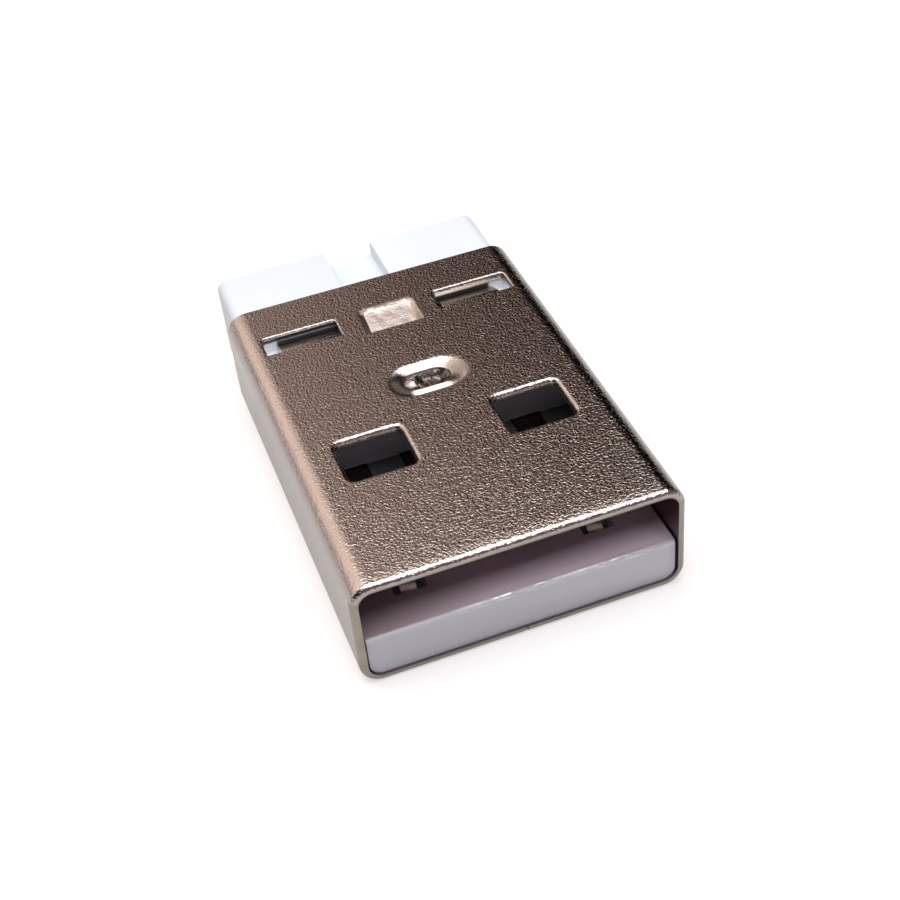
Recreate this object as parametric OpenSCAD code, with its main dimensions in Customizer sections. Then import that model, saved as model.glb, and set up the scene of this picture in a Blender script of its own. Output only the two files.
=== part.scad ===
// USB Type-A plug for a cable end: a folded, nickel-plated sheet shell around
// a white moulded insulator that carries four plated contact strips.
// X runs across the plug, Y from its mouth (y = 0) to its rear, Z up from the
// underside of the shell (z = 0).

/* [Shell] */
// Outer width of the shell
shell_w = 12.0; // [11.9:0.05:12.1]
// Outer height of the shell
shell_h = 4.5; // [4.4:0.05:4.6]
// Length of the shell from its mouth to its rear edge
shell_len = 16.6; // [16:0.1:18]
// Thickness of the sheet
sheet_t = 0.28; // [0.25:0.01:0.3]
// Outer radius of the four long folds
fold_r = 0.8; // [0.7:0.05:1]
// Rounding of the outer edge of the mouth
lip_r = 0.17; // [0.08:0.01:0.2]
// Gap of the butt seam along the middle of the underside
seam_gap = 0.05; // [0.03:0.01:0.1]

/* [Latch windows] */
// Width of each window's straight opening
window_w = 2.5; // [2.2:0.05:2.7]
// Length of each window's straight opening
window_len = 2.15; // [1.8:0.05:2.4]
// Distance from the mouth to the front edge of the windows
window_y = 5.15; // [4.8:0.05:5.6]
// Distance between the centres of the left and right windows
window_pitch = 6.05; // [5.6:0.05:6.4]
// Corner radius of the windows in plan
window_r = 0.25; // [0.15:0.05:0.4]
// Rolled-in radius at the outer edge of the windows
window_roll = 0.16; // [0.06:0.01:0.2]

/* [Stake] */
// Width of the oval stake at the shell's top face
stake_w = 2.9; // [2.5:0.1:3.2]
// Length of the oval stake at the shell's top face
stake_len = 1.65; // [1.4:0.05:1.8]
// Distance from the mouth to the centre of the stake
stake_y = 9.65; // [9.6:0.05:10.2]
// Depth of the stake's funnel below the top face
stake_depth = 0.45; // [0.35:0.05:0.6]
// Width of the pierced slot's short way at the bottom of the funnel
stake_slot = 0.75; // [0.5:0.05:0.9]
// Thickness of the drawn wall of the stake
stake_wall = 0.2; // [0.15:0.01:0.28]
// Depth of the hole in the block under the slot, for the metal torn by the punch
stake_relief = 0.9; // [0.6:0.1:1.2]

/* [Locking tab] */
// Width of the pressed-down tab at the top face
lock_w = 2.3; // [2:0.05:2.6]
// Distance from the mouth to the sheared front edge of the tab
lock_y = 13.05; // [12.8:0.05:13.2]
// Length of the tab from its sheared edge to its root
lock_len = 1.7; // [1.4:0.05:1.9]
// Depth of the tab at its sheared edge
lock_depth = 0.33; // [0.3:0.01:0.45]
// Depth of the tab at its root
lock_root_depth = 0.06; // [0.04:0.01:0.2]
// Width that each drawn side of the tab takes up
lock_side = 0.2; // [0.1:0.01:0.3]
// Thickness of the tab's drawn side walls
lock_wall = 0.14; // [0.1:0.01:0.2]
// Corner radius at the root of the tab in plan
lock_r = 0.35; // [0.2:0.05:0.5]

/* [Barbs] */
// Distance from the middle of the plug to the inner side of each barb slot
barb_x = 2.05; // [1.9:0.05:2.2]
// Width of each barb slot
barb_slot_w = 3.0; // [2.8:0.05:3.2]
// Length of each barb slot
barb_slot_len = 1.12; // [1:0.02:1.3]
// Distance from the mouth to the root of the barbs
barb_y = 13.42; // [13.2:0.02:13.6]
// Width of the relief notch beside each barb
barb_notch = 0.56; // [0.4:0.02:0.7]
// Side clearance between a barb and the inner side of its slot
barb_clear = 0.06; // [0.04:0.01:0.1]
// Angle at which the barbs dip into the shell
barb_angle = 24; // [15:1:30]
// Inner bend radius at the root of the barbs
barb_bend_r = 0.25; // [0.15:0.05:0.4]
// Length of the barbs' straight part
barb_leg = 0.96; // [0.7:0.02:1]

/* [Insulator] */
// Length of the whole insulator's reach, from the mouth to its rear face
body_end = 19.75; // [19:0.05:20.5]
// Distance from the mouth to the front face of the tongue
tongue_setback = 0.12; // [0.05:0.01:0.3]
// Gap between each side of the tongue and the shell
tongue_gap = 0.07; // [0.05:0.01:0.2]
// Thickness of the tongue
tongue_t = 1.72; // [1.6:0.02:1.9]
// Rounding along the top front edge of the tongue
tongue_edge_r = 0.15; // [0.05:0.01:0.3]
// Depth of the cavity from the mouth to the wall behind it
cavity_depth = 8.65; // [8.55:0.05:8.75]
// Clearance between the insulator and the shell at the sides and the top
fit_gap = 0.05; // [0.02:0.01:0.1]
// Clearance between the insulator's pockets and the metal pressed into them
pocket_gap = 0.06; // [0.03:0.01:0.1]
// Width of the notch in the middle of the rear top
notch_w = 2.05; // [1.6:0.05:2.4]
// Depth of that notch
notch_depth = 0.65; // [0.4:0.05:0.9]
// Length by which that notch reaches forward under the shell
notch_reach = 0.8; // [0.4:0.1:1.2]
// Depth of the two spring pockets over the underside windows
spring_pocket = 0.5; // [0.3:0.05:0.7]
// Margin of the spring pockets around the windows
spring_margin = 0.2; // [0.1:0.05:0.3]
// Thickness of the side walls of the solder bay under the rear block
bay_wall = 0.7; // [0.5:0.05:0.9]
// Distance from the shell's rear edge to the front wall of the solder bay
bay_set = 0.3; // [0.1:0.05:0.6]

/* [Contacts] */
// Width of a contact strip
contact_w = 1.0; // [0.9:0.02:1.1]
// Thickness of a contact strip
contact_t = 0.25; // [0.2:0.01:0.3]
// Distance between the centres of the two data contacts
data_pitch = 2.0; // [1.9:0.05:2.1]
// Distance between the centres of the two supply contacts
supply_pitch = 7.0; // [6.9:0.05:7.1]
// Distance from the mouth to the front tips of the supply contacts
supply_y = 1.85; // [1.6:0.05:2.1]
// Length by which the data contacts start behind the supply contacts
data_lag = 1.0; // [0.9:0.05:1.2]
// Depth of the contacts' top faces below the tongue's top face
contact_sink = 0.06; // [0.02:0.01:0.1]
// Side clearance of a contact strip in its groove
groove_clear = 0.1; // [0.06:0.01:0.14]
// Clearance in front of a contact's tip
tip_clear = 0.17; // [0.08:0.01:0.25]
// Angle at which the tips dip into the tongue
tip_angle = 50; // [40:5:60]
// Inner bend radius of the tips
tip_bend_r = 0.3; // [0.2:0.05:0.4]
// Length of the tips' straight part
tip_leg = 0.35; // [0.2:0.05:0.5]
// Width of the narrowed nose of a contact
nose_w = 0.6; // [0.5:0.05:0.8]
// Length of the narrowed nose of a contact
nose_len = 0.75; // [0.6:0.05:1]
// Distance from the ends of the solder tails to the insulator's rear face
tail_inset = 0.35; // [0.2:0.05:0.8]
// Length of one retention barb on a contact's side
grip_len = 0.6; // [0.4:0.05:0.8]
// Distance from the cavity's rear wall to the first pair of retention barbs
grip_set = 2.2; // [1.5:0.1:3]
// Distance between the two pairs of retention barbs
grip_pitch = 1.6; // [1:0.1:2]

/* [Hidden] */
$fn = 48;
// Length by which a cut runs clear of the face that it opens
past = 1;
// Angle by which an arc reaches into the straight parts beside it
bend_lap = 5;
inner_top = shell_h - sheet_t;
tongue_w = shell_w - 2 * (sheet_t + tongue_gap);
tongue_top = sheet_t + tongue_t;
contact_top = tongue_top - contact_sink;
contact_bottom = contact_top - contact_t;
groove_w = contact_w + 2 * groove_clear;
body_w = shell_w - 2 * (sheet_t + fit_gap);
body_h = inner_top - fit_gap - sheet_t;
body_r = fold_r - sheet_t - fit_gap;
tail_end = body_end - tail_inset;

// A YZ outline (drawn as XY) carried along X, centred on x = 0
module across_x(width) {
    translate([-width / 2, 0, 0])
        rotate([90, 0, 90])
            linear_extrude(width) children();
}

// An XZ outline (drawn as XY) carried along Y from y = 0
module along_y(length) {
    translate([0, length, 0])
        rotate([90, 0, 0])
            linear_extrude(length) children();
}

// A rectangle with round corners, centred on x = 0 and standing on y = 0
module round_rect(w, h, r) {
    translate([-w / 2 + r, 0]) square([w - 2 * r, h]);
    translate([-w / 2, r]) square([w, h - 2 * r]);
    for (x = [r - w / 2, w / 2 - r], y = [r, h - r])
        translate([x, y]) circle(r);
}

// Area below one face of a bent strip: its flat root, an arc of radius r about
// the origin and its straight leg. The three overlap by bend_lap degrees.
module below_face(r, angle, root, leg, spare = 0) {
    translate([-root - spare, -spare]) square([root + spare, r + spare]);
    intersection() {
        circle(r);
        polygon([
            [0, 0],
            for (a = [-bend_lap, angle + bend_lap]) 2 * r * [sin(a), cos(a)]
        ]);
    }
    rotate(-angle)
        translate([0, -spare]) square([leg + spare, r + spare]);
}

// A strip's edge view with its top face at y = 0. The bend starts at x = 0 and
// the leg runs on to the right; a short root reaches back into the flat sheet.
module bent_end(t, bend_r, angle, leg) {
    translate([0, -bend_r - t])
        difference() {
            below_face(bend_r + t, angle, bend_r + t, leg);
            below_face(bend_r, angle, bend_r + t, leg, past);
        }
}

// ---- Shell ----

// Side view of a block whose two front edges are rounded
module lipped_side(length, h) {
    translate([lip_r, 0]) square([length - lip_r, h]);
    translate([0, lip_r]) square([length, h - 2 * lip_r]);
    for (y = [lip_r, h - lip_r]) translate([lip_r, y]) circle(lip_r);
}

// Half section of one long fold, seen as a round post with a rounded front edge
module lipped_post() {
    square([fold_r - lip_r, shell_len]);
    translate([0, lip_r]) square([fold_r, shell_len - lip_r]);
    translate([fold_r - lip_r, lip_r]) circle(lip_r);
}

// The shell's outer form, solid, with four round folds and the mouth's soft edge
module shell_outer() {
    across_x(shell_w - 2 * fold_r) lipped_side(shell_len, shell_h);
    translate([-shell_w / 2, 0, fold_r])
        mirror([1, -1, 0])
            linear_extrude(shell_h - 2 * fold_r) lipped_side(shell_len, shell_w);
    for (x = [fold_r - shell_w / 2, shell_w / 2 - fold_r], z = [fold_r, shell_h - fold_r])
        translate([x, 0, z])
            rotate([-90, 0, 0])
                rotate_extrude() lipped_post();
}

// Half section of a hole's rolled-in edge: straight at the bottom, flared on top
module roll_profile(half) {
    difference() {
        square([half + window_roll, window_roll + past]);
        translate([half + window_roll, 0]) circle(window_roll);
    }
}

// Cutter for a window in a sheet whose outer face is at z = 0, standing on y = 0
module window_cutter() {
    side_x = window_w / 2 - window_r;
    translate([0, 0, -sheet_t - past])
        linear_extrude(sheet_t + past) round_rect(window_w, window_len, window_r);
    translate([0, 0, -window_roll]) {
        for (s = [0, 1])
            mirror([s, 0, 0])
                translate([0, window_r, 0])
                    along_y(window_len - 2 * window_r) roll_profile(window_w / 2);
        for (s = [0, 1])
            translate([0, window_len / 2, 0])
                mirror([0, s, 0])
                    across_x(2 * side_x) roll_profile(window_len / 2);
        for (x = [-side_x, side_x], y = [window_r, window_len - window_r])
            translate([x, y, 0])
                rotate_extrude() roll_profile(window_r);
    }
}

// The four latch windows: two in the top, two in the underside
module windows() {
    for (x = [-window_pitch / 2, window_pitch / 2]) {
        translate([x, window_y, shell_h]) window_cutter();
        translate([x, window_y, 0]) mirror([0, 0, 1]) window_cutter();
    }
}

// An oval cone: a stadium in plan, its end radius running from r_top to r_bottom
module oval_cone(r_top, r_bottom, depth) {
    centre = (stake_w - stake_len) / 2;
    for (x = [-centre, centre])
        translate([x, 0, -depth]) cylinder(h = depth, r1 = r_bottom, r2 = r_top);
    across_x(2 * centre)
        polygon([[-r_top, 0], [r_top, 0], [r_bottom, -depth], [-r_bottom, -depth]]);
}

// The drawn metal below the sheet around the stake, and the funnel and slot in it
stake_slope = (stake_len - stake_slot) / 2 / stake_depth;
stake_spread = stake_wall * sqrt(1 + stake_slope * stake_slope);
stake_root_r = stake_len / 2 - stake_slope * sheet_t + stake_spread;
stake_tip_r = stake_slot / 2 + stake_spread;

module stake_bulge(grow = 0) {
    translate([0, stake_y, inner_top])
        oval_cone(stake_root_r + grow, stake_tip_r + grow, stake_depth - sheet_t + grow);
}

module stake_funnel() {
    translate([0, stake_y, shell_h]) {
        oval_cone(stake_len / 2, stake_slot / 2, stake_depth);
        translate([0, 0, -stake_depth])
            oval_cone(stake_slot / 2, stake_slot / 2, past);
    }
}

// A wedge with sloped sides and rear, deepest at its sheared front. top is its
// width at z_top, bottom its width at the deep end, r its plan corner radius.
module wedge(z_top, top, bottom, r) {
    drop = lock_depth;
    intersection() {
        translate([0, lock_y, 0])
            across_x(top + past)
                polygon([
                    [0, z_top],
                    [0, z_top - drop],
                    [lock_len - lock_side, z_top - lock_root_depth],
                    [lock_len, z_top]
                ]);
        translate([0, lock_y, 0])
            along_y(lock_len)
                polygon([
                    [-top / 2, z_top], [top / 2, z_top],
                    [bottom / 2, z_top - drop], [-bottom / 2, z_top - drop]
                ]);
        translate([0, lock_y - past, z_top - drop])
            linear_extrude(drop)
                round_rect(top, lock_len + past, r);
    }
}

module lock_pocket() {
    wedge(shell_h, lock_w, lock_w - 2 * lock_side, lock_r);
}

module lock_bulge() {
    lock_grown = lock_w + 2 * lock_wall;
    wedge(inner_top, lock_grown, lock_grown - 2 * lock_side, lock_r);
}

// Middle of a barb's own width, for the side given by s
barb_w = barb_slot_w - barb_notch - barb_clear;
barb_mid = barb_x + barb_clear + barb_w / 2;

module barb_slots() {
    for (x = [-barb_x - barb_slot_w, barb_x])
        translate([x, barb_y, inner_top - past])
            cube([barb_slot_w, barb_slot_len, sheet_t + 2 * past]);
}

module barbs() {
    for (x = [-barb_mid, barb_mid])
        translate([x, barb_y, shell_h])
            across_x(barb_w)
                bent_end(sheet_t, barb_bend_r, barb_angle, barb_leg);
}

module shell() {
    color("#b9afa8")
        difference() {
            union() {
                difference() {
                    shell_outer();
                    translate([0, -past, sheet_t])
                        along_y(shell_len + 2 * past)
                            round_rect(
                                shell_w - 2 * sheet_t, shell_h - 2 * sheet_t, fold_r - sheet_t
                            );
                    barb_slots();
                    windows();
                }
                stake_bulge();
                lock_bulge();
                barbs();
            }
            stake_funnel();
            lock_pocket();
            translate([-seam_gap / 2, -past, -past])
                cube([seam_gap, shell_len + 2 * past, sheet_t + 2 * past]);
        }
}

// ---- Insulator ----

// Plan of the barb pockets' depth, taken from how far the barbs dip
barb_dip = (barb_bend_r + sheet_t) * (1 - cos(barb_angle))
    + barb_leg * sin(barb_angle) + sheet_t * cos(barb_angle);

// Section of the tongue: square on top, rounded like the shell's folds below
module tongue_section() {
    translate([0, sheet_t])
        intersection() {
            round_rect(tongue_w, tongue_t + body_r, body_r);
            translate([-tongue_w / 2, 0]) square([tongue_w, tongue_t]);
        }
}

module tongue() {
    length = cavity_depth + past - tongue_setback;
    translate([0, tongue_setback, 0])
        intersection() {
            along_y(length) tongue_section();
            across_x(tongue_w)
                translate([0, sheet_t]) {
                    translate([tongue_edge_r, 0]) square([length, tongue_t]);
                    square([length, tongue_t - tongue_edge_r]);
                    translate([tongue_edge_r, tongue_t - tongue_edge_r])
                        circle(tongue_edge_r);
                }
        }
}

module rear_block() {
    translate([0, cavity_depth, sheet_t])
        along_y(body_end - cavity_depth)
            round_rect(body_w, body_h, body_r);
}

// Space in the block's top for the metal that is pressed into it
module press_pockets() {
    pocket_top = inner_top - fit_gap;
    stake_bulge(pocket_gap);
    translate([0, stake_y, inner_top])
        oval_cone(stake_slot / 2, stake_slot / 2, stake_relief);
    lock_pocket_w = lock_w + 2 * (lock_wall + pocket_gap);
    lock_pocket_h = lock_depth - fit_gap + pocket_gap;
    translate([-lock_pocket_w / 2, lock_y - pocket_gap, pocket_top - lock_pocket_h])
        cube([lock_pocket_w, lock_len + 2 * pocket_gap, lock_pocket_h + past]);
    barb_pocket_h = barb_dip - sheet_t - fit_gap + pocket_gap;
    for (x = [-barb_x - barb_slot_w - pocket_gap, barb_x - pocket_gap])
        translate([x, barb_y - pocket_gap, pocket_top - barb_pocket_h])
            cube([
                barb_slot_w + 2 * pocket_gap,
                barb_slot_len + 2 * pocket_gap,
                barb_pocket_h + past
            ]);
}

module rear_notch() {
    notch_y = shell_len - notch_reach;
    translate([-notch_w / 2, notch_y, inner_top - fit_gap - notch_depth])
        cube([notch_w, body_end - notch_y + past, notch_depth + past]);
}

// Pockets in the tongue's underside, over the two underside windows
module spring_pockets() {
    for (x = [-window_pitch / 2, window_pitch / 2])
        translate([x, window_y - spring_margin, sheet_t - past])
            linear_extrude(spring_pocket + past)
                round_rect(
                    window_w + 2 * spring_margin, window_len + 2 * spring_margin, window_r
                );
}

// The bay under the rear block in which the wires are soldered to the tails
module solder_bay() {
    bay_w = body_w - 2 * bay_wall;
    bay_y = shell_len + bay_set;
    translate([-bay_w / 2, bay_y, sheet_t - past])
        cube([bay_w, body_end - bay_y + past, contact_bottom + contact_sink - sheet_t + past]);
}

// Groove for one contact: open on the tongue, closed through the block
module groove(x, front) {
    tip_reach = (tip_bend_r + contact_t) * sin(tip_angle) + tip_leg * cos(tip_angle);
    tip_dip = (tip_bend_r + contact_t) * (1 - cos(tip_angle))
        + tip_leg * sin(tip_angle) + contact_t * cos(tip_angle);
    groove_y = front - tip_clear;
    translate([x - groove_w / 2, groove_y, contact_bottom])
        cube([groove_w, body_end - groove_y + past, tongue_top - contact_bottom]);
    translate([x - groove_w / 2, groove_y, contact_bottom])
        cube([groove_w, cavity_depth - groove_y, contact_t + past]);
    translate([x - groove_w / 2, groove_y, contact_top - tip_dip - tip_clear])
        cube([groove_w, tip_reach + 2 * tip_clear, tip_dip + tip_clear + past]);
}

module insulator() {
    color("#eef4fb")
        difference() {
            union() {
                tongue();
                rear_block();
            }
            press_pockets();
            rear_notch();
            spring_pockets();
            solder_bay();
            for (x = [-supply_pitch / 2, supply_pitch / 2]) groove(x, supply_y);
            for (x = [-data_pitch / 2, data_pitch / 2]) groove(x, supply_y + data_lag);
        }
}

// ---- Contacts ----

// Plan of a stamped strip from its nose to its solder tail, centred on x = 0
module strip_plan(front) {
    shoulder = front + nose_len;
    translate([-contact_w / 2, shoulder]) square([contact_w, tail_end - shoulder]);
    translate([-nose_w / 2, front - past]) square([nose_w, shoulder - front + past]);
    polygon([
        [-nose_w / 2, shoulder - (contact_w - nose_w) / 2],
        [nose_w / 2, shoulder - (contact_w - nose_w) / 2],
        [contact_w / 2, shoulder],
        [-contact_w / 2, shoulder]
    ]);
    for (n = [0, 1]) {
        grip_y = cavity_depth + grip_set + n * grip_pitch;
        polygon([
            [0, grip_y],
            [contact_w / 2, grip_y],
            [groove_w / 2, grip_y + grip_len],
            [-groove_w / 2, grip_y + grip_len],
            [-contact_w / 2, grip_y]
        ]);
    }
}

// Edge view of a strip: flat along its length, its tip bent down at the front
module strip_edge(front) {
    root = front + (tip_bend_r + contact_t) * sin(tip_angle) + tip_leg * cos(tip_angle);
    translate([root, contact_bottom]) square([tail_end - root, contact_t]);
    translate([root, contact_top])
        mirror([1, 0]) bent_end(contact_t, tip_bend_r, tip_angle, tip_leg);
}

module contact(x, front) {
    color("#d8c48c")
        translate([x, 0, 0])
            intersection() {
                across_x(groove_w) strip_edge(front);
                linear_extrude(tongue_top) strip_plan(front);
            }
}

module contact_power() {
    contact(-supply_pitch / 2, supply_y);
}

module contact_data_minus() {
    contact(-data_pitch / 2, supply_y + data_lag);
}

module contact_data_plus() {
    contact(data_pitch / 2, supply_y + data_lag);
}

module contact_ground() {
    contact(supply_pitch / 2, supply_y);
}

shell();
insulator();
contact_power();
contact_data_minus();
contact_data_plus();
contact_ground();
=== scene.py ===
"""A type-a plug for a cable end: a folded metal shell, a white moulding and four contact strips."""
import math

import bmesh
import bpy
import numpy as np
from mathutils import Matrix, Vector


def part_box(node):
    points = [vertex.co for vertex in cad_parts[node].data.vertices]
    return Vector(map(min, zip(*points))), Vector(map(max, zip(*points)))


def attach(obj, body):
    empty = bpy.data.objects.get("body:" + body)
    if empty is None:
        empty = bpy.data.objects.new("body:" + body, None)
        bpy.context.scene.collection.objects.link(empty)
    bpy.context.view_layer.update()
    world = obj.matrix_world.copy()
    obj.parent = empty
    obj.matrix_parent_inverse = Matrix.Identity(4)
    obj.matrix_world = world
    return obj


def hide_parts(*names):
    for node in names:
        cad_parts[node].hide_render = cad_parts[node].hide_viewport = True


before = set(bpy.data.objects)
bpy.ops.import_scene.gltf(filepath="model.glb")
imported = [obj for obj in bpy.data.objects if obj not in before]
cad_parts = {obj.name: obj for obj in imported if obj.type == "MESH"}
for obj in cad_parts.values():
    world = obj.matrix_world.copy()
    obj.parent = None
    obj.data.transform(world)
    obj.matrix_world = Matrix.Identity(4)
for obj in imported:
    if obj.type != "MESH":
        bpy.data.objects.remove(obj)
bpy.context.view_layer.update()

# ---- The moulding ----
# One white plastic moulding with the tongue in the mouth and the block at the rear.
# It is shot in a two-part mould, so its edges are slightly soft and its faces carry
# the fine sparked texture of the tool.

MM = 0.001
MOULD_EDGE = 0.05 * MM
TONGUE_TOP, MOUTH_DEPTH = 2.0, 8.65
MOULD_WHITE = (0.70, 0.785, 0.865, 1.0)
MOULD_CLOUDED = (0.665, 0.746, 0.822, 1.0)
# Of the colours below, all but the tongue's grey are painted light, painted shade or a painted highlight.
MOULD_PAINTED_LIGHT = (0.92, 0.96, 1.0, 1.0)
MOULD_SCRAPED_HIGHLIGHT = (0.93, 0.95, 0.97, 1.0)
MOULD_TONGUE_GREY = (0.675, 0.70, 0.775, 1.0)
MOULD_PAINTED_ROSY_SHADE = (0.66, 0.48, 0.56, 1.0)
MOULD_PAINTED_LEFT_SHADOW = (0.25, 0.18, 0.19, 1.0)
MOULD_PAINTED_POCKET_SHADE = (0.04, 0.038, 0.035, 1.0)
MOULD_PAINTED_DEEP_SHADE = (0.024, 0.026, 0.021, 1.0)


class Value:
    """A number socket of a material. Arithmetic on it adds Math nodes and gives a new Value."""

    def __init__(self, paint, socket):
        self.paint = paint
        self.socket = socket

    def _math(self, operation, first, second):
        return self.paint.node("ShaderNodeMath", {"operation": operation}, {0: first, 1: second})[0]

    def __add__(self, other):
        return self._math("ADD", self, other)

    def __sub__(self, other):
        return self._math("SUBTRACT", self, other)

    def __mul__(self, other):
        return self._math("MULTIPLY", self, other)

    def __rsub__(self, other):
        return self._math("SUBTRACT", other, self)

    __radd__ = __add__
    __rmul__ = __mul__


class Paint:
    """The nodes of a new material, or of an owner such as a world, and one method that adds any node."""

    def __init__(self, name, owner=None):
        self.material = owner or bpy.data.materials.new(name)
        self.material.use_nodes = True
        self.tree = self.material.node_tree
        self.shader = self.tree.nodes.get("Principled BSDF")

    def node(self, kind, settings, inputs):
        """Adds a node, applies its settings, fills its sockets and returns its outputs."""
        made = self.tree.nodes.new(kind)
        for key, value in settings.items():
            setattr(made, key, value)
        for key, value in inputs.items():
            self.fill(made.inputs[key], value)
        return [Value(self, out) for out in made.outputs]

    def fill(self, socket, value):
        """Links a Value to a socket, or sets the socket to a constant."""
        if isinstance(value, Value):
            self.tree.links.new(value.socket, socket)
        else:
            socket.default_value = value

    def finish(self, **values):
        """Fills the Principled shader's sockets by name, with _ for a space."""
        for key, value in values.items():
            self.fill(self.shader.inputs[key.replace("_", " ")], value)
        return self.material

    def place(self):
        """Object coordinates, in metres."""
        return self.node("ShaderNodeTexCoord", {}, {})[3]

    def axes(self, vector):
        """The x, y and z of a vector, as Values."""
        return self.node("ShaderNodeSeparateXYZ", {}, {0: vector})

    def noise(self, size, detail=2.0, roughness=0.5, stretch=(1.0, 1.0, 1.0)):
        """Noise from 0 to 1 whose lumps are about size metres across."""
        where = self.node(
            "ShaderNodeMapping", {"vector_type": "POINT"}, {"Vector": self.place(), "Scale": stretch}
        )[0]
        settings = {"noise_dimensions": "3D"}
        inputs = {"Vector": where, "Scale": 1.0 / size, "Detail": detail, "Roughness": roughness}
        return self.node("ShaderNodeTexNoise", settings, inputs)[0]

    def ramp(self, value, low, high, start=0.0, end=1.0):
        """Ramp from low, where value is start, to high, where it is end, clamped beyond them."""
        inputs = {"Value": value, "From Min": start, "From Max": end, "To Min": low, "To Max": high}
        return self.node("ShaderNodeMapRange", {}, inputs)[0]

    def rising(self, value, start, end):
        """0 where a place is short of start millimetres, 1 where it is past end."""
        return self.ramp(value, 0.0, 1.0, start * MM, end * MM)

    def falling(self, value, start, end):
        """1 where a place is short of start millimetres, 0 where it is past end."""
        return self.ramp(value, 1.0, 0.0, start * MM, end * MM)

    def bump(self, height, depth, under=None):
        """Normal from a height of 0 to 1 that stands for depth metres."""
        inputs = {"Height": height, "Distance": depth, "Strength": 1.0}
        if under is not None:
            inputs["Normal"] = under
        return self.node("ShaderNodeBump", {}, inputs)[0]

    def mix(self, amount, first, second):
        """Colour between first and second."""
        settings = {"data_type": "RGBA", "blend_type": "MIX"}
        return self.node("ShaderNodeMix", settings, {0: amount, 6: first, 7: second})[2]


def placed(name, data):
    """A new object at the origin that shows the data."""
    piece = bpy.data.objects.new(name, data)
    bpy.context.scene.collection.objects.link(piece)
    return piece


def softened(node, name, width, material):
    """Copy of a CAD solid with merged points and softened edges, which takes the solid's place."""
    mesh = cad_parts[node].data.copy()
    mesh.name = name
    shape = bmesh.new()
    shape.from_mesh(mesh)
    bmesh.ops.remove_doubles(shape, verts=shape.verts, dist=0.0005 * MM)
    bmesh.ops.dissolve_limit(
        shape, angle_limit=math.radians(0.5), verts=shape.verts, edges=shape.edges
    )
    for face in shape.faces:
        face.smooth = True
    shape.to_mesh(mesh)
    shape.free()
    mesh.materials.clear()
    mesh.materials.append(material)
    piece = placed(name, mesh)
    bevel = piece.modifiers.new("soft edges", "BEVEL")
    bevel.width = width
    bevel.segments = 3
    bevel.limit_method = "ANGLE"
    bevel.angle_limit = math.radians(35)
    bevel.harden_normals = True
    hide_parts(node)
    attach(piece, "root")


def white_plastic():
    """Slightly bluish white moulded plastic with a faint sparked texture, a greyer tongue, and painted
    light, shade and highlights in places.
    """
    paint = Paint("white plastic")
    x, y, z = paint.axes(paint.place())[:3]
    flow = paint.noise(2.5 * MM, detail=2.0)
    spark = paint.noise(0.06 * MM, detail=1.0)
    shade = paint.mix(flow, MOULD_WHITE, MOULD_CLOUDED)

    # The tongue is a little greyer than the block, and further in it is painted near-black, as painted
    # shade deep in the mouth.
    tongue = paint.falling(y, MOUTH_DEPTH - 0.05, MOUTH_DEPTH + 0.05)
    deep_shade = paint.rising(y, 2.6, 4.8) * tongue
    shade = paint.mix(tongue, shade, MOULD_TONGUE_GREY)
    shade = paint.mix(deep_shade * 0.95, shade, MOULD_PAINTED_DEEP_SHADE)

    # Under the barb slots the block is painted lighter at the outer ends, as painted light, and near-black
    # between them, as painted shade in the pockets.
    slots = paint.rising(y, 13.2, 13.3) * paint.falling(y, 15.9, 16.0) * paint.falling(z, 4.15, 4.20)
    across = paint.node("ShaderNodeMath", {"operation": "ABSOLUTE"}, {0: x})[0]
    pocket_shade = slots * paint.ramp(across, 0.98, 0.0, 4.40 * MM, 4.50 * MM)
    shade = paint.mix(slots, shade, MOULD_PAINTED_LIGHT)
    shade = paint.mix(pocket_shade, shade, MOULD_PAINTED_POCKET_SHADE)

    # The tongue's top face near the mouth is painted a rosy shade, as painted shade and reflected light,
    # and a painted shadow darkens it towards the left.
    upper = paint.rising(z, TONGUE_TOP - 0.025, TONGUE_TOP - 0.004) * paint.falling(y, 3.0, 4.6)
    left_shadow = upper * paint.ramp(x, 0.6, 0.0, -4.8 * MM, -1.0 * MM)
    shade = paint.mix(upper * 0.7, shade, MOULD_PAINTED_ROSY_SHADE)
    shade = paint.mix(left_shadow, shade, MOULD_PAINTED_LEFT_SHADOW)

    # The socket has scraped the tongue's lip along its length, less at the left, and the scrapes are
    # painted near white and metallic as a painted highlight.
    lip = paint.falling(y, 0.10, 0.42) * paint.rising(z, TONGUE_TOP - 0.24, TONGUE_TOP - 0.10)
    patchy = paint.ramp(paint.noise(1.2 * MM, detail=2.0), 0.45, 1.0, 0.34, 0.48)
    patchy = patchy * paint.ramp(x, 0.1, 1.0, -2.6 * MM, -0.8 * MM)
    scratch = paint.noise(0.05 * MM, detail=3.0, roughness=0.7, stretch=(0.12, 1.0, 1.0))
    scuff_and_highlight = lip * patchy * paint.ramp(scratch, 0.0, 1.0, 0.37, 0.50)
    return paint.finish(
        Base_Color=paint.mix(scuff_and_highlight, shade, MOULD_SCRAPED_HIGHLIGHT),
        Roughness=paint.ramp(spark, 0.38, 0.52) - scuff_and_highlight * 0.15,
        Metallic=scuff_and_highlight * 0.85,
        IOR=1.5,
        Normal=paint.bump(scuff_and_highlight, 0.018 * MM, paint.bump(spark, 0.0012 * MM)),
    )


softened("insulator", "moulding", MOULD_EDGE, white_plastic())

# ---- The contact strips ----
# Four strips of spring copper alloy, stamped, bent down at their noses and plated
# with a gold flash over nickel. They are pressed into the grooves of the moulding.

STRIP_EDGE = 0.02 * MM
GOLD_PALE = (0.80, 0.74, 0.65, 1.0)
GOLD_DEEP = (0.66, 0.58, 0.48, 1.0)
GOLD_PAINTED_SHADE = (0.06, 0.05, 0.045, 1.0)


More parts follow.
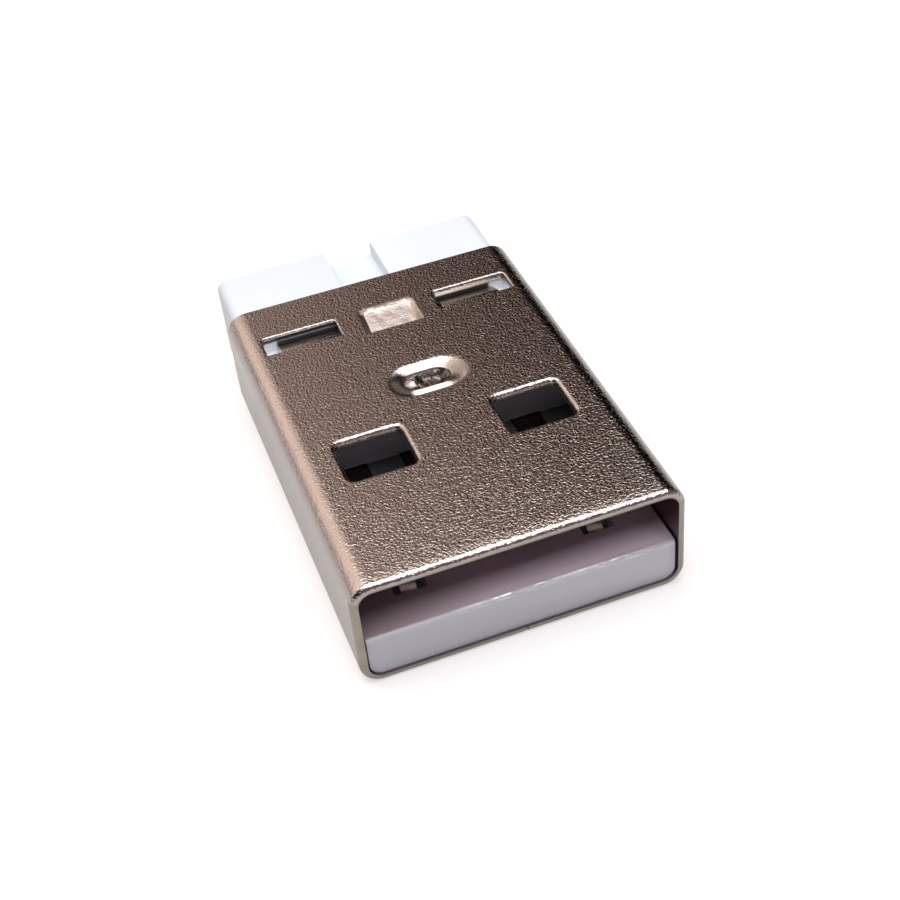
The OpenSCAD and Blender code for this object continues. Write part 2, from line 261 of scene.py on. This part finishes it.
def gold_flash():
    """Thin gold over nickel, rolled along the strip, with a slow drift in its colour and painted shade
    further into the mouth.
    """
    paint = Paint("gold flash")
    y = paint.axes(paint.place())[1]
    # Further into the mouth the strips are painted near-black, as painted shade.
    cavity_shade = paint.ramp(y, 0.0, 0.9, 2.4 * MM, 4.8 * MM)
    drift = paint.noise(1.1 * MM, detail=3.0)
    rolled = paint.noise(0.05 * MM, detail=2.0, stretch=(1.0, 0.08, 1.0))
    return paint.finish(
        Base_Color=paint.mix(cavity_shade, paint.mix(drift, GOLD_PALE, GOLD_DEEP), GOLD_PAINTED_SHADE),
        Metallic=1.0,
        Roughness=paint.ramp(rolled, 0.2, 0.34),
        Normal=paint.bump(rolled, 0.0006 * MM),
    )


strip_finish = gold_flash()
for line in ("power", "data_minus", "data_plus", "ground"):
    softened("contact_" + line, "strip_" + line, STRIP_EDGE, strip_finish)

# ---- The shell ----
# One piece of nickel-plated sheet, blanked, pressed and folded round the moulding.
# Its windows and slots have rolled-in edges from the punch, the oval stake and the
# locking tab are pressed into the moulding, and two barbs are bent down behind it.

# The folded sheet, in millimetres, with the finishes of its faces.
SHELL_LOW, SHELL_HIGH = (np.array(corner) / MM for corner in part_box("shell"))
SHELL_W, SHELL_L, SHELL_H = SHELL_HIGH - SHELL_LOW
SHEET = 0.28
FOLD = 0.80
LIP = 0.21
SEAM = 0.05
REAR_BREAK = 0.03
FLAT = SHELL_W / 2 - FOLD
PLATED, CUT, INNER, PRESSED, TAB, TORN, RIM = range(7)

# The steps of its grids, and the blocks of them that hold each punched or pressed place.
GRID_STEP, FINE_STEP, PLAIN_STEP = 0.13, 0.065, 0.5
MARGIN_RINGS, ARC_CELLS = 5, 6
WINDOW_SPAN_X, WINDOW_SPAN_Y = (1.40, 4.65), (4.80, 7.65)
STAKE_SPAN_X, STAKE_SPAN_Y = (-1.90, 1.90), (8.35, 10.95)
LOCK_SPAN_X, BARB_SPAN_X, REAR_SPAN_Y = (-1.55, 1.55), (1.75, FLAT), (12.65, 15.10)


class Skin:
    """Collects grids of points, each a surface of two parameters, and joins them into one mesh."""

    def __init__(self):
        self.points = []
        self.faces = []
        self.kinds = []
        self.count = 0

    def add(self, x, y, z, keep=None, kind=PLATED):
        """Adds the surface x, y, z over a grid. keep masks its cells.

        kind is the finish of the whole grid, of each of its rows, or of each of its cells.
        """
        x, y, z = np.broadcast_arrays(x, y, z)
        rows, columns = x.shape
        index = self.count + np.arange(rows * columns).reshape(rows, columns)
        quads = np.stack([index[:-1, :-1], index[1:, :-1], index[1:, 1:], index[:-1, 1:]], axis=-1)
        kinds = np.reshape(kind, (-1, 1)) if np.ndim(kind) < 2 else kind
        kinds = np.broadcast_to(kinds, quads.shape[:2])
        keep = np.ones(quads.shape[:2], bool) if keep is None else keep
        self.points.append(np.stack([x, y, z], axis=-1).reshape(-1, 3))
        self.faces.append(quads[keep])
        self.kinds.append(kinds[keep])
        self.count += rows * columns

    def rings(self, rings, level, kind):
        """Adds closed rings of (x, y, drop), where level gives the height of a drop."""
        stack = np.stack([np.concatenate([ring, ring[:1]]) for ring in rings])
        self.add(stack[..., 0], stack[..., 1], level(stack[..., 2]), kind=kind)

    def mesh(self, name, materials, sharp):
        """One merged mesh with outward normals, and creases where faces meet at over sharp degrees."""
        points = np.concatenate(self.points) * MM
        faces = np.concatenate(self.faces)
        made = bpy.data.meshes.new(name)
        made.from_pydata(points.tolist(), [], faces.tolist())
        made.polygons.foreach_set("material_index", np.concatenate(self.kinds).astype(np.int32))
        shape = bmesh.new()
        shape.from_mesh(made)
        bmesh.ops.remove_doubles(shape, verts=shape.verts, dist=0.001 * MM)
        bmesh.ops.dissolve_degenerate(shape, edges=shape.edges, dist=0.0005 * MM)
        bmesh.ops.recalc_face_normals(shape, faces=shape.faces)
        for face in shape.faces:
            face.smooth = True
        shape.to_mesh(made)
        shape.free()
        made.set_sharp_from_angle(angle=math.radians(sharp))
        for material in materials:
            made.materials.append(material)
        return made


def spaced(breaks, step):
    """Sorted positions that include every break, with even steps of at most step between them."""
    breaks = sorted(set(np.round(breaks, 6)))
    spans = zip(breaks[:-1], breaks[1:])
    runs = [np.linspace(a, b, max(1, math.ceil((b - a) / step - 1e-6)) + 1)[:-1] for a, b in spans]
    return np.append(np.concatenate(runs), breaks[-1])


def within(positions, span):
    """The positions inside a span, its ends included."""
    return positions[(positions > span[0] - 1e-5) & (positions < span[1] + 1e-5)]


def opposite(span):
    """The same span on the other side of the middle."""
    return (-span[1], -span[0])


def top_level(drop):
    """Height of a point that is drop below the top face."""
    return SHELL_H - drop


def under_level(drop):
    """Height of a point that is drop above the underside."""
    return drop


skin = Skin()

# The section's path runs from the seam in the underside round to the seam again. Each of
# its columns has an anchor, one fold radius in from the outer face, and an outward normal.
breaks = [WINDOW_SPAN_X[0], LOCK_SPAN_X[1], BARB_SPAN_X[0], STAKE_SPAN_X[1], WINDOW_SPAN_X[1], FLAT]
top_x = spaced([-x for x in breaks] + breaks, GRID_STEP)
fine_x = spaced([*STAKE_SPAN_X, *LOCK_SPAN_X], FINE_STEP)
top_x = np.unique(np.round(np.concatenate([top_x, fine_x]), 6))
under_x = np.append([SEAM / 2, SEAM / 2 + 0.03], spaced([0.3, 0.8, WINDOW_SPAN_X[0]], 0.25)[:-1])
under_x = np.concatenate([under_x, within(top_x, (WINDOW_SPAN_X[0], FLAT))])
turn = np.radians(np.linspace(0, 90, 15))[1:-1]
side_z = spaced([FOLD, SHELL_H - FOLD], PLAIN_STEP)
right_anchor = np.concatenate([
    np.column_stack([under_x, np.full(len(under_x), FOLD)]),
    np.full((len(turn), 2), (FLAT, FOLD)),
    np.column_stack([np.full(len(side_z), FLAT), side_z]),
    np.full((len(turn), 2), (FLAT, SHELL_H - FOLD)),
])
right_normal = np.concatenate([
    np.tile((0.0, -1.0), (len(under_x), 1)),
    np.column_stack([np.sin(turn), -np.cos(turn)]),
    np.tile((1.0, 0.0), (len(side_z), 1)),
    np.column_stack([np.cos(turn), np.sin(turn)]),
])
top_anchor = np.column_stack([top_x[::-1], np.full(len(top_x), SHELL_H - FOLD)])
top_normal = np.tile((0.0, 1.0), (len(top_x), 1))
mirrored = np.array([-1.0, 1.0])
anchor = np.concatenate([right_anchor, top_anchor, right_anchor[::-1] * mirrored])
normal = np.concatenate([right_normal, top_normal, right_normal[::-1] * mirrored])

# The rows run from the rounded mouth edge to the sheared rear edge.
row_breaks = np.concatenate([
    [LIP, SHELL_L - REAR_BREAK],
    spaced(WINDOW_SPAN_Y, GRID_STEP),
    spaced(STAKE_SPAN_Y, FINE_STEP),
    spaced(REAR_SPAN_Y, GRID_STEP),
])
rows = spaced(row_breaks, PLAIN_STEP)
lip_turn = np.radians(np.linspace(90, 0, 8))[:-1]
row_y = np.concatenate([LIP * (1 - np.sin(lip_turn)), rows, [SHELL_L]])
row_drop = np.concatenate([LIP * (1 - np.cos(lip_turn)), 0 * rows, [REAR_BREAK]])

# Blocks are left out of the grids for the windows, the stake, the locking tab and the slots.
middle_x = (anchor[1:, 0] + anchor[:-1, 0]) / 2
middle_y = (row_y[1:] + row_y[:-1]) / 2
facing = np.where(normal[1:, 1] == normal[:-1, 1], normal[1:, 1], 0.0)
keep = np.ones((len(middle_y), len(middle_x)), bool)
window_spans = [WINDOW_SPAN_X, opposite(WINDOW_SPAN_X)]
barb_spans = [BARB_SPAN_X, opposite(BARB_SPAN_X)]
blocks = [(span, WINDOW_SPAN_Y, way) for span in window_spans for way in (1, -1)]
blocks += [(STAKE_SPAN_X, STAKE_SPAN_Y, 1), (LOCK_SPAN_X, REAR_SPAN_Y, 1)]
blocks += [(span, REAR_SPAN_Y, 1) for span in barb_spans]
for (x0, x1), (y0, y1), way in blocks:
    across = (middle_x > x0) & (middle_x < x1) & (facing == way)
    along = (middle_y > y0) & (middle_y < y1)
    keep &= ~(along[:, None] & across[None, :])

# The outer face, whose lip is painted darker all round but on top as painted shade, the inner face and the
# edges.
outer = anchor[None] + normal[None] * (FOLD - row_drop[:, None, None])
inner = anchor[None] + normal[None] * (FOLD - SHEET) + 0 * outer
upward = (normal[1:, 1] + normal[:-1, 1]) / 2
shaded_lip = (middle_y < LIP)[:, None] & (upward < 0.3)[None]
outer_kind = np.where(shaded_lip, RIM, PLATED)
skin.add(outer[..., 0], row_y[:, None], outer[..., 1], keep=keep, kind=outer_kind)
skin.add(inner[..., 0], row_y[:, None], inner[..., 1], keep=keep, kind=INNER)
for row, kind in ((0, RIM), (-1, CUT)):
    ends = np.stack([outer[row], inner[row]])
    skin.add(ends[..., 0], row_y[row], ends[..., 1], kind=kind)
for column in (0, -1):
    ends = np.stack([outer[:, column], inner[:, column]])
    skin.add(ends[..., 0], row_y[None], ends[..., 1], kind=CUT)


def block_edge(xs, ys):
    """Corners of the cells round a block: front to the right, right side, rear, left side."""
    x = np.concatenate([xs[:-1], np.full(len(ys) - 1, xs[-1]), xs[:0:-1], np.full(len(ys) - 1, xs[0])])
    y = np.concatenate([np.full(len(xs) - 1, ys[0]), ys[:-1], np.full(len(xs) - 1, ys[-1]), ys[:0:-1]])
    return np.column_stack([x, y])


def hole_edge(centre, size, radii, xs, ys):
    """Points and outward normals round a rectangle with round corners, in block_edge's order.

    Each side runs from the middle of one corner arc to the middle of the next. Its place along
    the side is slide + r sin(turn) and its distance in from it is r (1 - cos(turn)).
    """
    half = np.array(size) / 2
    points, normals = [], []
    for quarter in range(4):
        reach_along, reach_out = half if quarter % 2 == 0 else half[::-1]
        count = (len(xs) - 1, len(ys) - 1)[quarter % 2]
        r_start, r_end = radii[quarter], radii[(quarter + 1) % 4]
        step = np.arange(count)
        turn = np.radians(np.interp(step, [0, ARC_CELLS, count - ARC_CELLS, count], [-45, 0, 0, 45]))
        ends = [r_start - reach_along, reach_along - r_end]
        slide = np.interp(step, [ARC_CELLS, count - ARC_CELLS], ends)
        r = np.where(step < count / 2, r_start, r_end)
        along = slide + r * np.sin(turn)
        out = reach_out - r * (1 - np.cos(turn))
        c, s = round(math.cos(quarter * math.pi / 2)), round(math.sin(quarter * math.pi / 2))
        lean_along, lean_out = np.sin(turn), np.cos(turn)
        points.append(np.column_stack([c * along + s * out, s * along - c * out]))
        normals.append(np.column_stack([c * lean_along + s * lean_out, s * lean_along - c * lean_out]))
    return np.concatenate(points) + centre, np.concatenate(normals)


def at_drop(ring, drop):
    """A ring of (x, y) points, or of (x, y, drop) points, moved to a drop."""
    return np.column_stack([ring[:, :2], np.broadcast_to(drop, len(ring))])


def offset_rings(edge, normals, profile):
    """Rings of (x, y, drop): the edge moved out along its normals, for each (offset, drop)."""
    return [at_drop(edge + normals * np.reshape(offset, (-1, 1)), drop) for offset, drop in profile]


def bridge(first, last):
    """Rings evenly spaced from first to last, without last."""
    shares = np.linspace(0, 1, MARGIN_RINGS + 1)[:-1]
    return [first * (1 - share) + last * share for share in shares]


def rolled_edge(across, down, steps=8):
    """Profile of a rolled-in edge: offset across (1 - sin a) and drop down (1 - cos a), a from 0 to 90."""
    return [(across * (1 - np.sin(a)), down * (1 - np.cos(a))) for a in np.linspace(0, np.pi / 2, steps)]


def punched(xs, ys, edge, normals, profile, level, wall_kind=CUT):
    """A punched hole: the outer face, the rolled edge, the sheared wall and the inner face."""
    start = block_edge(xs, ys)
    rings = offset_rings(edge, normals, profile)
    outside = bridge(at_drop(start, 0.0), rings[0])
    inside = bridge(at_drop(start, SHEET), rings[-1])[::-1]
    kinds = [PLATED] * (len(outside) + len(rings) - 2) + [wall_kind] + [INNER] * len(inside)
    skin.rings(outside + rings + inside, level, kinds)


# The four latch windows, rolled in on all sides.
WINDOW_SIZE, WINDOW_R, WINDOW_Y = (2.50, 2.15), 0.25, 6.225
WINDOW_ROLL, WINDOW_ROLL_DROP = 0.16, 0.22
for low, high in window_spans:
    xs, ys = within(top_x, (low, high)), within(row_y, WINDOW_SPAN_Y)
    edge, out = hole_edge(((low + high) / 2, WINDOW_Y), WINDOW_SIZE, [WINDOW_R] * 4, xs, ys)
    wall = rolled_edge(WINDOW_ROLL, WINDOW_ROLL_DROP) + [(0.0, SHEET)]
    punched(xs, ys, edge, out, wall, top_level)
    punched(xs, ys, edge, out, wall, under_level)


def floor_patch(ring, xs, ys):
    """Surface inside a ring: front and rear blended one way plus the sides the other, less the corners."""
    loop = np.concatenate([ring, ring[:1]])
    nx, ny = len(xs) - 1, len(ys) - 1
    front, right = loop[: nx + 1], loop[nx : nx + ny + 1]
    rear, left = loop[nx + ny : 2 * nx + ny + 1][::-1], loop[2 * nx + ny :][::-1]
    u = np.linspace(0, 1, nx + 1)[None, :, None]
    v = np.linspace(0, 1, ny + 1)[:, None, None]
    corners = (1 - v) * ((1 - u) * front[0] + u * front[-1]) + v * ((1 - u) * rear[0] + u * rear[-1])
    return (1 - v) * front + v * rear + (1 - u) * left[:, None] + u * right[:, None] - corners


def ripple(x, y, size, seed):
    """Smooth uneven field between about -1 and 1: twelve plane waves of mixed direction and length."""
    chance = np.random.default_rng(seed)
    angle = chance.uniform(0, 2 * np.pi, 12)
    wave = 2 * np.pi / (size * chance.uniform(0.6, 1.8, 12))
    phase = chance.uniform(0, 2 * np.pi, 12)
    inside = x[..., None] * np.cos(angle) * wave + y[..., None] * np.sin(angle) * wave + phase
    return np.sin(inside).sum(axis=-1) / 5


def pressed(xs, ys, outside, inside, crumple, kind, torn_from=math.inf):
    """A place pressed in without a hole: rings and a floor for the outer face, then the inner one.

    crumple gives the depth added to the outer floor, which is torn metal past x = torn_from.
    """
    start = block_edge(xs, ys)
    for rings, drop in ((outside, 0.0), (inside, SHEET)):
        kinds = [PLATED] * MARGIN_RINGS + [kind] * (len(rings) - 1)
        skin.rings(bridge(at_drop(start, drop), rings[0]) + rings, top_level, kinds)
        x, y, sink = np.moveaxis(floor_patch(rings[-1], xs, ys), -1, 0)
        floor_kind = kind
        if drop == 0.0:
            sink = sink + crumple(x, y)
            floor_kind = np.where(x[(len(ys) - 1) // 2, 1:] < torn_from, kind, TORN)
        skin.add(x.T, y.T, top_level(sink).T, kind=floor_kind)


# The stake: an oval funnel, steeper at the rear, with a slot whose floor the punch has torn.
# Each fall is the funnel's drop at the shares of the way from its mouth, 0, to the slot, 1.
STAKE_MOUTH, STAKE_SIZE = (0.11, 9.51), (2.96, 1.83)
STAKE_SLOT, STAKE_SLOT_SIZE = (0.06, 9.57), (1.90, 1.12)
STAKE_TORN_FROM = -0.30
NEARLY_ROUND = 1e-4
xs, ys = within(top_x, STAKE_SPAN_X), within(row_y, STAKE_SPAN_Y)
mouth, out = hole_edge(STAKE_MOUTH, STAKE_SIZE, [STAKE_SIZE[1] / 2 - NEARLY_ROUND] * 4, xs, ys)
slot_round = [STAKE_SLOT_SIZE[1] / 2 - NEARLY_ROUND] * 4
slot, slot_out = hole_edge(STAKE_SLOT, STAKE_SLOT_SIZE, slot_round, xs, ys)
shares = np.array([-0.2, -0.08, 0.0, 0.1, 0.2, 0.35, 0.6, 0.8, 0.93, 1.0])
rear_fall = np.array([0.0, 0.01, 0.02, 0.033, 0.047, 0.068, 0.105, 0.136, 0.158, 0.172])
left_fall = np.array([0.0, 0.006, 0.015, 0.022, 0.025, 0.026, 0.028, 0.032, 0.04, 0.055])
front_fall = np.array([0.0, 0.0, 0.0, 0.10, 0.125, 0.112, 0.080, 0.055, 0.042, 0.05])
leftness = np.clip(-1.4 * out[:, 0] - 0.9 * out[:, 1] - 0.1, 0, 1)
rightness = np.clip(1.5 * out[:, 0] - 0.5, 0, 1)
frontness = np.clip(-1.5 * out[:, 1] - 0.4, 0, 1) * np.clip((mouth[:, 0] + 0.95) / 0.2, 0, 1)
fall = rear_fall[:, None] * (1 - leftness - 0.2 * rightness) + left_fall[:, None] * leftness
fall = fall * (1 - frontness) + front_fall[:, None] * frontness
funnel = [at_drop(mouth * (1 - share) + slot * share, drop) for share, drop in zip(shares, fall)]

# The slot's wall is ragged, and the sheet below it swells round the funnel.
ragged = 0.015 * ripple(slot[:, 0], slot[:, 1], 0.3, 2)
funnel.append(at_drop(slot - slot_out * (0.01 + np.abs(ragged[:, None])), fall[-1] + 0.03))
funnel.append(at_drop(slot - slot_out * 0.04, fall[-1] + 0.09 + ragged))
below = [at_drop(mouth + out * 0.2, SHEET), at_drop(mouth + out * 0.1, SHEET + 0.01)]
below += [at_drop(slot + slot_out * 0.10, 0.58), at_drop(slot, 0.70)]


def torn(x, y):
    """Depth added to the slot's floor: lumps, a boss at the left, a pit at the right and a lip before it.

    The boss and the lip rise as minus exp(-d^2), with d the distance from their middles in
    widths, and the pit sinks as exp(-d^6), so that it has a flat bottom.
    """
    u, v = x - STAKE_SLOT[0], y - STAKE_SLOT[1]
    half_w, half_l = np.array(STAKE_SLOT_SIZE) / 2
    inside = np.clip(1.2 - 1.2 * np.hypot(u / half_w, v / half_l) ** 4, 0, 1)
    lumps = 0.025 * ripple(u, v, 0.35, 5) + 0.01 * ripple(u, v, 0.15, 8)
    pit = 0.26 * np.exp(-((u - 0.26) / 0.55) ** 6 - ((v - 0.17) / 0.30) ** 6)
    line = v + 0.16 - 0.45 * (u - 0.45)
    lip = -0.10 * np.exp(-((line / 0.06) ** 2) - ((u - 0.64) / 0.28) ** 4)
    boss = -0.12 * np.exp(-(((u + 0.58) / 0.2) ** 2) - ((v - 0.02) / 0.2) ** 2)
    return inside * (lumps + pit + lip + boss)


pressed(xs, ys, funnel, below, torn, PRESSED, STAKE_TORN_FROM)

# The locking tab: sheared at its front and pressed in, so that it slopes up to its root.
# Its sides are drawn down between steps, given as (way out, drop), and its sloping floor.
LOCK_X, LOCK_Y, LOCK_SIZE, LOCK_R = 0.05, 13.05, (2.20, 1.60), [0.06, 0.06, 0.3, 0.3]
LOCK_SIDE, LOCK_WALL = 0.14, 0.14
LOCK_FRONT_DROP, LOCK_REAR_DROP = 0.36, 0.02
xs, ys = within(top_x, LOCK_SPAN_X), within(row_y, REAR_SPAN_Y)
edge, out = hole_edge((LOCK_X, LOCK_Y + LOCK_SIZE[1] / 2), LOCK_SIZE, LOCK_R, xs, ys)
rearness = np.clip(1 + out[:, 1], 0, 1)
flank = np.abs(out[:, 0])
depth = np.interp(edge[:, 1], [LOCK_Y, LOCK_Y + LOCK_SIZE[1]], [LOCK_FRONT_DROP, LOCK_REAR_DROP])
steps = [(0.05, 0.0), (0.03, 0.004), (0.01, 0.018), (-0.01, 0.04)]
side = [(rearness * way_out, np.minimum(drop, depth * 0.3)) for way_out, drop in steps]
side += [(-0.015 - LOCK_SIDE * flank * 0.75, depth * 0.85), (-0.02 - LOCK_SIDE * flank, depth)]
lower = [(0.12, SHEET), (-LOCK_SIDE * flank * 0.5, depth + LOCK_WALL)]


def dented(x, y):
    """Depth added to the locking tab's floor: shallow dents left by the press."""
    return 0.006 * ripple(x, y, 0.5, 3) + 0.003 * ripple(x, y, 0.18, 4)


pressed(xs, ys, offset_rings(edge, out, side), offset_rings(edge, out, lower), dented, TAB)

# The slots of the barbs, rolled at the sides and rear and sharp where the barb bends down.
# The left one is rolled less, and its wall is undercut.
BARB_X, BARB_Y = 2.05, 13.42
BARB_SLOT_SIZE, BARB_SLOT_R = (3.00, 1.12), [0.06, 0.06, 0.15, 0.15]
for low, high in barb_spans:
    right = low > 0
    middle = (BARB_X + BARB_SLOT_SIZE[0] / 2) * (1 if right else -1)
    xs, ys = within(top_x, (low, high)), within(row_y, REAR_SPAN_Y)
    edge, out = hole_edge((middle, BARB_Y + BARB_SLOT_SIZE[1] / 2), BARB_SLOT_SIZE, BARB_SLOT_R, xs, ys)
    rearness = np.clip(1 + out[:, 1], 0, 1)
    # The left slot's wall takes the inner finish, which is darkened as painted shade.
    roll, roll_drop, undercut, kind = (0.10, 0.22, 0.0, CUT) if right else (0.07, 0.09, 0.13, INNER)
    wall = rolled_edge(roll * rearness, roll_drop * rearness) + [(undercut * rearness, SHEET)]
    punched(xs, ys, edge, out, wall, top_level, kind)

# The barbs: strips of the sheet bent down into the slots, swept along an arc and a straight
# leg that tapers at its end. Half of the section runs from a rounded upper corner down one
# side to a rounded lower corner, as insets from that side and depths through the sheet.
BARB_CLEAR, BARB_NOTCH, BARB_ROUND = 0.06, 0.56, 0.03
BARB_ANGLE, BARB_BEND, BARB_LEG = math.radians(24), 0.25, 0.96
barb_w = BARB_SLOT_SIZE[0] - BARB_NOTCH - BARB_CLEAR
bend = np.linspace(0, BARB_ANGLE, 8)
leg = np.append(np.linspace(0, BARB_LEG - 0.05, 6)[1:], [BARB_LEG - 0.02, BARB_LEG])
radius = BARB_BEND + SHEET
lean = np.append(bend, np.full(len(leg), BARB_ANGLE))[:, None]
spine_y = radius * np.sin(lean) + np.append(0 * bend, leg)[:, None] * np.cos(lean)
spine_drop = radius * (1 - np.cos(lean)) + np.append(0 * bend, leg)[:, None] * np.sin(lean)
taper = np.append(np.zeros(len(lean) - 2), [0.015, 0.05])[:, None]
turn = np.radians(np.linspace(0, 90, 4))
inset = BARB_ROUND * (1 - np.concatenate([np.sin(turn), np.cos(turn)]))
through = np.concatenate([BARB_ROUND * (1 - np.cos(turn)), SHEET - BARB_ROUND * (1 - np.sin(turn))])
half = len(inset)
side = np.repeat([1, -1], half)
inset, through = (np.concatenate([run, run[::-1]]) for run in (inset, through))
through = SHEET / 2 + (through - SHEET / 2) * (1 - taper / (SHEET / 2))
for way in (1, -1):
    middle = way * (BARB_X + BARB_CLEAR + barb_w / 2)
    x = middle + side * (barb_w / 2 - taper - inset)
    y = BARB_Y + spine_y - through * np.sin(lean)
    z = top_level(spine_drop + through * np.cos(lean))
    skin.add(*(np.concatenate([grid, grid[:, :1]], axis=1) for grid in (x, y, z)))
    for row in (0, -1):
        cap = (np.stack([grid[row, :half], grid[row, half:][::-1]]) for grid in (x, y, z))
        skin.add(*cap, kind=CUT)

# The finishes, each between two colours: the plated sheet, its cut, the lip painted darker as shade, the
# torn metal, raw and in painted shade, the pressed places, and the inner face, darkened as painted shade.
SATIN = [(0.52, 0.485, 0.46, 1.0), (0.475, 0.435, 0.41, 1.0)]
SHEARED = [(0.50, 0.47, 0.40, 1.0), (0.37, 0.35, 0.29, 1.0)]
RIM_PAINTED_SHADE = [(0.50, 0.475, 0.415, 1.0), (0.27, 0.255, 0.22, 1.0)]
RAW_AND_PAINTED_SHADE = [(0.20, 0.17, 0.15, 1.0), (0.13, 0.11, 0.10, 1.0)]
BURNISHED = [(0.54, 0.50, 0.485, 1.0), (0.38, 0.33, 0.305, 1.0)]
DULL_AND_PAINTED_SHADE = [(0.26, 0.215, 0.215, 1.0), (0.22, 0.18, 0.18, 1.0)]


def plated_steel(name, colours, rough, grain, cloud=3.0):
    """Satin nickel over steel: a leathery grain, fine sparkle, and clouds of two colours.

    grain is the depth of the grain and cloud the size of the clouds, both in millimetres.
    """
    paint = Paint(name)
    peel = paint.noise(0.11 * MM, detail=1.5, roughness=0.5)
    pebble = paint.noise(0.055 * MM, detail=1.0)
    dust = paint.noise(0.025 * MM, detail=1.0)
    drift = paint.noise(cloud * MM, detail=3.0)
    under = paint.bump(peel * 0.7 + pebble * 0.3, grain * MM)
    return paint.finish(
        Base_Color=paint.mix(drift, *colours),
        Metallic=1.0,
        Roughness=paint.ramp(dust, rough - 0.06, rough + 0.06, 0.3, 0.7),
        Normal=paint.bump(dust, 0.0011 * MM, under),
    )


shell_finishes = {
    PLATED: plated_steel("plated sheet", SATIN, 0.14, 0.026),
    CUT: plated_steel("cut edge", SHEARED, 0.4, 0.012),
    # The inner face is dull and darkened as painted shade.
    INNER: plated_steel("inner face", DULL_AND_PAINTED_SHADE, 0.3, 0.008),
    PRESSED: plated_steel("pressed sheet", SATIN, 0.24, 0.008),
    TAB: plated_steel("pressed tab", BURNISHED, 0.31, 0.009, cloud=0.35),
    # Torn steel, raw and darkened further as painted shade of the stake's pit.
    TORN: plated_steel("torn metal", RAW_AND_PAINTED_SHADE, 0.3, 0.012),
    RIM: plated_steel("mouth rim", RIM_PAINTED_SHADE, 0.36, 0.026, cloud=0.8),
}
shell = placed("shell_dressed", skin.mesh("shell_dressed", shell_finishes.values(), sharp=40))
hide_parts("shell")
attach(shell, "root")

# ---- The studio ----
# A pale floor, and a large square softbox overhead. The warm walls of the room are brighter
# behind the plug at the left and dark at the right, with a dim pinkish one in front.

WHITE = (1.0, 1.0, 1.0, 1.0)
FLOOR_GREY = (0.5, 0.5, 0.5, 1.0)
FLOOR_REACH = 0.6
floor_paint = Paint("pale floor")
rays = floor_paint.node("ShaderNodeLightPath", {}, {})
camera_ray, glossy_ray, transmission_ray = rays[0], rays[3], rays[6]
seen = camera_ray * 0.5 + glossy_ray * 0.14 + transmission_ray * 0.5
matt = floor_paint.node("ShaderNodeBsdfDiffuse", {}, {"Color": FLOOR_GREY})[0]
glow = floor_paint.node("ShaderNodeEmission", {}, {"Color": WHITE, "Strength": seen})[0]
both = floor_paint.node("ShaderNodeAddShader", {}, {0: matt, 1: glow})[0]
floor_paint.fill(floor_paint.tree.nodes["Material Output"].inputs["Surface"], both)

corners = [(x * FLOOR_REACH, y * FLOOR_REACH, 0.0) for x, y in ((-1, -1), (1, -1), (1, 1), (-1, 1))]
ground = bpy.data.meshes.new("ground")
ground.from_pydata(corners, [], [(0, 1, 2, 3)])
ground.materials.append(floor_paint.material)
ground_piece = placed("ground", ground)


def softbox(name, place, target, size, radiance, colour):
    """Square light of the given radiance, at place and facing target, in metres."""
    lamp = bpy.data.lights.new(name, "AREA")
    lamp.shape = "SQUARE"
    lamp.size = size
    lamp.energy = math.pi * size * size * radiance
    lamp.color = colour
    piece = placed(name, lamp)
    piece.location = place
    away = Vector(place) - Vector(target)
    piece.rotation_euler = away.to_track_quat("Z", "Y").to_euler()


softbox("overhead", (0.0, -0.014, 0.30), (0, 0.01, 0.002), 0.34, 3.6, (1.0, 0.99, 0.97))

WALL_DIM = (1.0, 0.70, 0.62, 1.0)
WALL_BRIGHT = (1.0, 0.80, 0.69, 1.0)
FRONT_PINK = (1.0, 0.71, 0.86, 1.0)
room = bpy.data.worlds.new("room")
sky = Paint("room", room)
toward_x, toward_y, toward_z = sky.axes(sky.node("ShaderNodeTexCoord", {}, {})[0])[:3]
level = sky.ramp(toward_x, 1.4, 0.0, -0.35, 0.262)
rise = sky.ramp(toward_z, 0.0, 0.5, 0.66, 0.90)
horizon = sky.ramp(toward_z, 0.03, 1.0, 0.03, 0.28)
behind = sky.ramp(toward_y, 0.0, 1.0, -0.1, 0.4) * horizon
ahead = sky.ramp(toward_x * 0.6 - toward_y, 0.0, 0.26, 0.0, 1.0)
straight = sky.node("ShaderNodeLightPath", {}, {})[0]
hue = sky.mix(behind, FRONT_PINK, sky.mix(level, WALL_DIM, WALL_BRIGHT))
strength = ((level + rise) * behind + ahead) * (1.0 - straight) + straight
background = sky.tree.nodes["Background"]
sky.fill(background.inputs["Color"], sky.mix(straight, hue, WHITE))
sky.fill(background.inputs["Strength"], strength)
bpy.context.scene.world = room
bpy.context.scene.view_settings.view_transform = "Standard"

# ---- The camera ----
# It looks down into the mouth from the front left, about forty degrees above the floor,
# and leans a little to the side.

CAMERA_PLACE = (-11.763, -34.167, 39.751)
CAMERA_AZIMUTH, CAMERA_ELEVATION, CAMERA_ROLL = -15.842, 40.741, -6.417
lens = bpy.data.cameras.new("camera")
lens.lens = 61.592
lens.sensor_width = 36.0
lens.clip_start = 0.002
lens.clip_end = 5.0
camera = placed("camera", lens)
camera.matrix_world = (
    Matrix.Translation(Vector(CAMERA_PLACE) * MM)
    @ Matrix.Rotation(math.radians(CAMERA_AZIMUTH), 4, "Z")
    @ Matrix.Rotation(math.radians(90 - CAMERA_ELEVATION), 4, "X")
    @ Matrix.Rotation(math.radians(CAMERA_ROLL), 4, "Z")
)
bpy.context.scene.camera = camera
